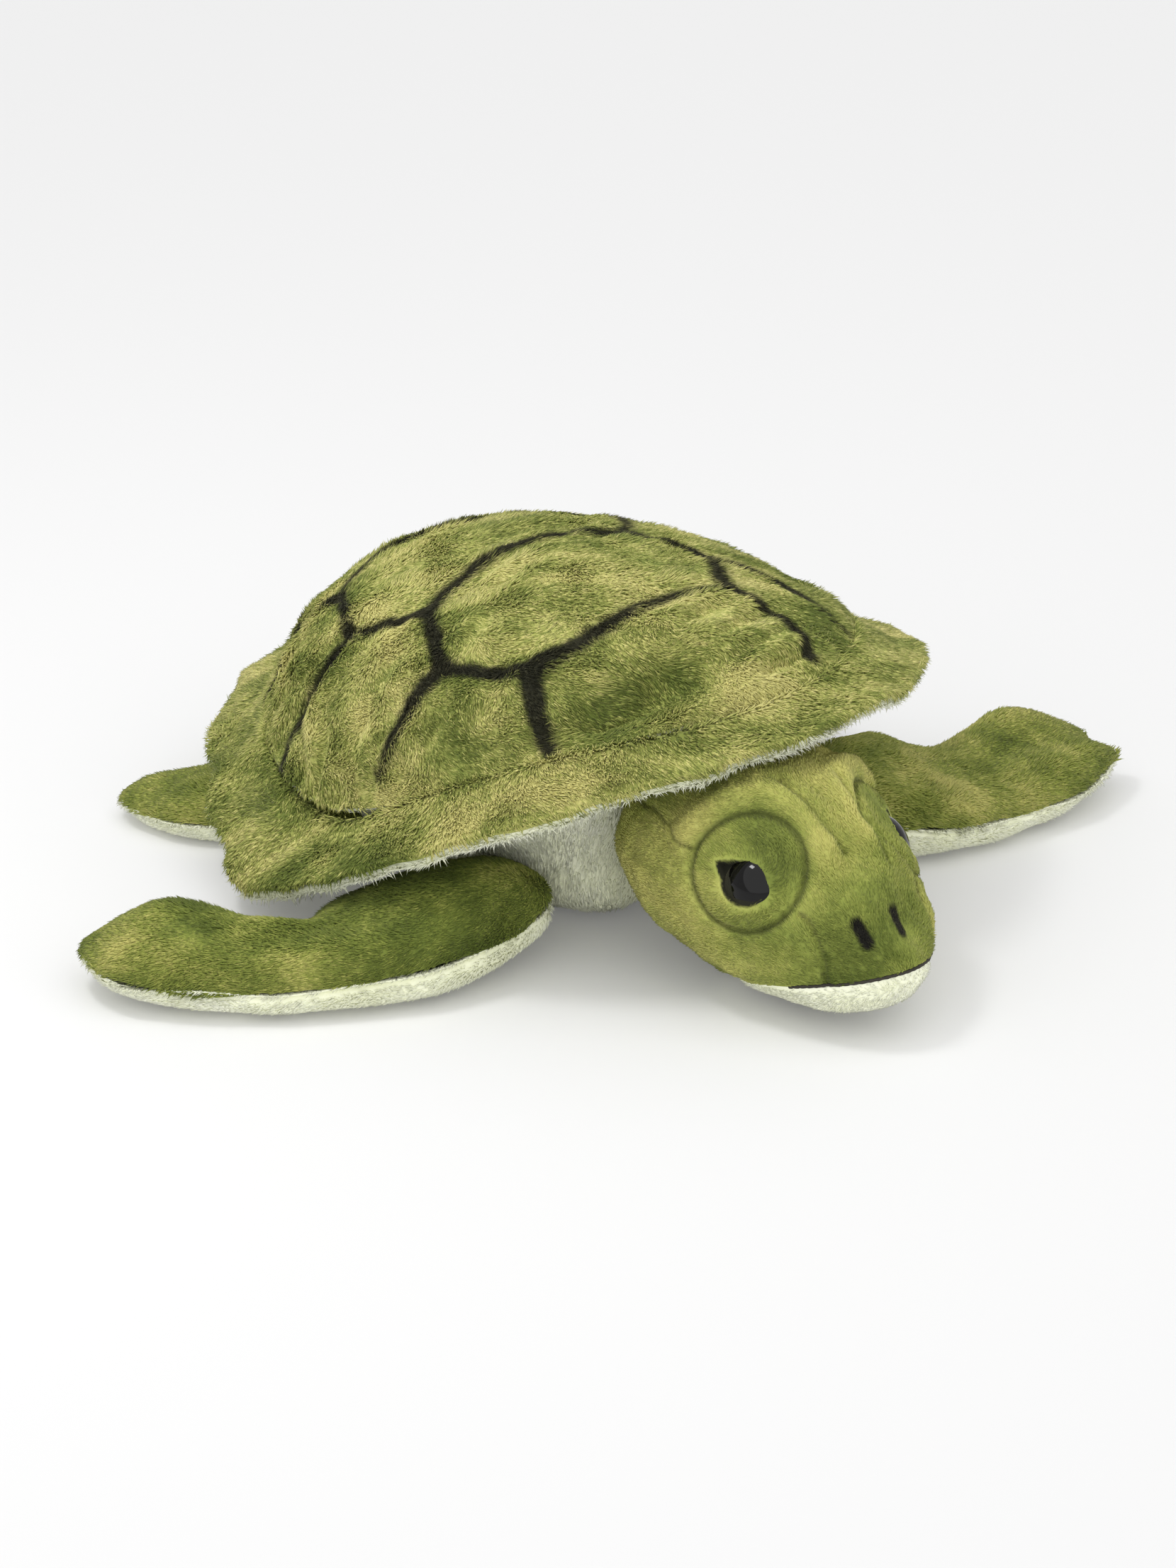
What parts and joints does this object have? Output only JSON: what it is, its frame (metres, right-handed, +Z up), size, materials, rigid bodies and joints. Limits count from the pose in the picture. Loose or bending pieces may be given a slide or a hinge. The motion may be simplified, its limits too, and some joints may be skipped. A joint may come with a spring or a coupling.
{
  "type": "plush sea turtle toy",
  "caption": "Stuffed sea turtle toy lying on its belly, with a domed shell and flared rim, a turning and nodding head, and four flippers that bend at their seams.",
  "frame": {"origin": "on the floor under the middle of the shell, where the belly rests", "axes": "+Z up, -Y the way the turtle's body faces, +X its left side"},
  "size_m": [0.2464, 0.2017, 0.0737],
  "materials": {
    "green_plush": "short-pile plush, mottled green",
    "olive_plush": "short-pile plush, olive green",
    "cream_plush": "short-pile plush, cream white",
    "fibre_filling": "loose fibre filling",
    "eye_plastic": "glossy black",
    "washer_plastic": "moulded white"
  },
  "bodies": {
    "torso": {"dome_cover": "green_plush", "belly_cover": "cream_plush", "body_filling": "fibre_filling", "rim_cover": "green_plush", "rim_lining": "cream_plush"},
    "neck": {"neck": "cream_plush"},
    "head": {"head_crown": "green_plush", "cheek_right": "green_plush", "cheek_left": "green_plush", "chin_panel": "cream_plush", "head_filling": "fibre_filling", "eye_patch_right": "olive_plush", "eye_patch_left": "olive_plush", "eye_right": "eye_plastic", "eye_left": "eye_plastic", "eye_washer_right": "washer_plastic", "eye_washer_left": "washer_plastic"},
    "front_flipper_right": {"front_flipper_right_top": "green_plush", "front_flipper_right_bottom": "cream_plush", "front_flipper_right_filling": "fibre_filling"},
    "front_flipper_left": {"front_flipper_left_top": "green_plush", "front_flipper_left_bottom": "cream_plush", "front_flipper_left_filling": "fibre_filling"},
    "rear_flipper_right": {"rear_flipper_right_top": "green_plush", "rear_flipper_right_bottom": "cream_plush", "rear_flipper_right_filling": "fibre_filling"},
    "rear_flipper_left": {"rear_flipper_left_top": "green_plush", "rear_flipper_left_bottom": "cream_plush", "rear_flipper_left_filling": "fibre_filling"}
  },
  "joints": [
    {"name": "neck_turn", "type": "hinge", "parent": "torso", "child": "neck", "pos_m": [-0.003, -0.05308, 0.0282], "axis": [0, 0, 1], "range_deg": [-5, 8], "stiffness_Nm_per_rad": 0.1},
    {"name": "head_nod", "type": "hinge", "parent": "neck", "child": "head", "pos_m": [-0.003, -0.05308, 0.0282], "axis": [-0.9925, 0.1219, 0], "range_deg": [-25, 5], "stiffness_Nm_per_rad": 0.1},
    {"name": "shoulder_right", "type": "hinge", "parent": "torso", "child": "front_flipper_right", "pos_m": [-0.03442, -0.03025, 0.01404], "axis": [-0.1738, 0.9848, 0], "range_deg": [-30, 2], "stiffness_Nm_per_rad": 0.05},
    {"name": "shoulder_left", "type": "hinge", "parent": "torso", "child": "front_flipper_left", "pos_m": [0.03188, -0.03134, 0.01404], "axis": [-0.5812, -0.8137, 0], "range_deg": [-30, 15], "stiffness_Nm_per_rad": 0.05},
    {"name": "hip_right", "type": "hinge", "parent": "torso", "child": "rear_flipper_right", "pos_m": [-0.02529, 0.03061, 0.00736], "axis": [0.8192, 0.5735, 0], "range_deg": [-30, 8], "stiffness_Nm_per_rad": 0.03},
    {"name": "hip_left", "type": "hinge", "parent": "torso", "child": "rear_flipper_left", "pos_m": [0.02453, 0.0297, 0.00736], "axis": [0.8192, -0.5735, 0], "range_deg": [-30, 12], "stiffness_Nm_per_rad": 0.03}
  ]
}
